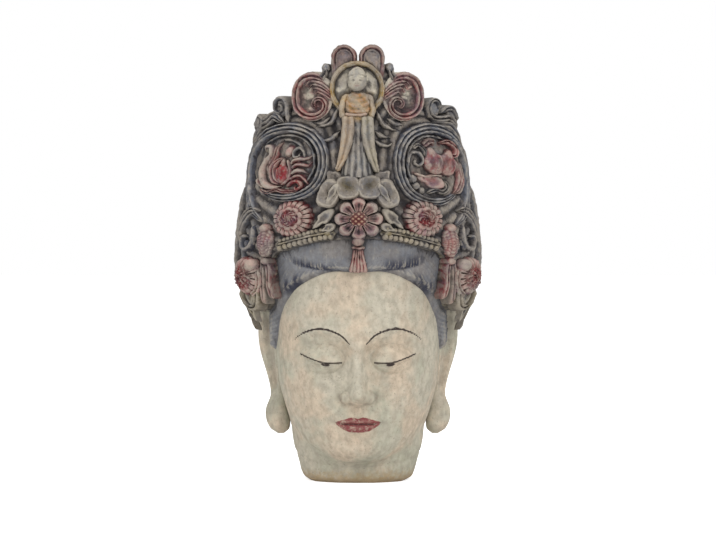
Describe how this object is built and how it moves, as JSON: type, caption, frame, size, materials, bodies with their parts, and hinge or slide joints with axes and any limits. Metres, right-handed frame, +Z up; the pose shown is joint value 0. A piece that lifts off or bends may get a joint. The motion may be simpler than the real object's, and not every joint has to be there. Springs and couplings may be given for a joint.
{
  "type": "stone buddha head",
  "caption": "Carved and painted stone head of a crowned bodhisattva with long ears, cut flat below the chin so that it stands on its neck.",
  "frame": {"origin": "middle of the flat underside of the neck, on the surface that the head stands on", "axes": "+Z up to the top of the crown; the face looks along -Y; +X is to the right seen from in front"},
  "size_m": [0.284, 0.256, 0.5],
  "materials": {
    "painted_stone": "matt, weathered polychrome over carved stone"
  },
  "bodies": {
    "root": {"buddha_head": "painted_stone"}
  },
  "joints": []
}
